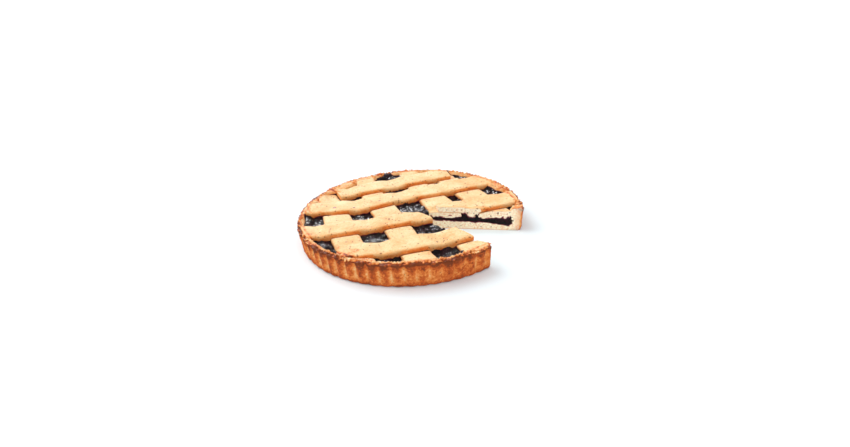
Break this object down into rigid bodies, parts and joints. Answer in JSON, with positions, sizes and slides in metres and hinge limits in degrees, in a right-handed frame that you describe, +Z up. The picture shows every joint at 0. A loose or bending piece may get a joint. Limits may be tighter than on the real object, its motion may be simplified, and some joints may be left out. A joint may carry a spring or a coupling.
{
  "type": "mixed berry crostata",
  "caption": "Round fluted shortcrust tart filled with dark berry jam under a pastry lattice, with one wedge cut out.",
  "frame": {"origin": "middle of the underside of the whole tart, on the surface that it stands on", "axes": "+Z up through the tart's thickness; the missing wedge opens towards +X and -Y; azimuth 0 looks along +Y"},
  "size_m": [0.2796, 0.2799, 0.0305],
  "materials": {
    "baked_pastry": "golden-brown baked shortcrust, dry and slightly crumbly",
    "pale_pastry": "pale baked shortcrust with fine brown specks",
    "berry_jam": "dark purple set berry jam, glossy and lumpy"
  },
  "bodies": {
    "root": {"pastry_case": "baked_pastry", "berry_filling": "berry_jam", "under_strip_1": "pale_pastry", "under_strip_2": "pale_pastry", "under_strip_3_front": "pale_pastry", "under_strip_3_back": "pale_pastry", "under_strip_4": "pale_pastry", "over_strip_1": "pale_pastry", "over_strip_2_left": "pale_pastry", "over_strip_2_right": "pale_pastry", "over_strip_3": "pale_pastry", "over_strip_4": "pale_pastry"}
  },
  "joints": []
}
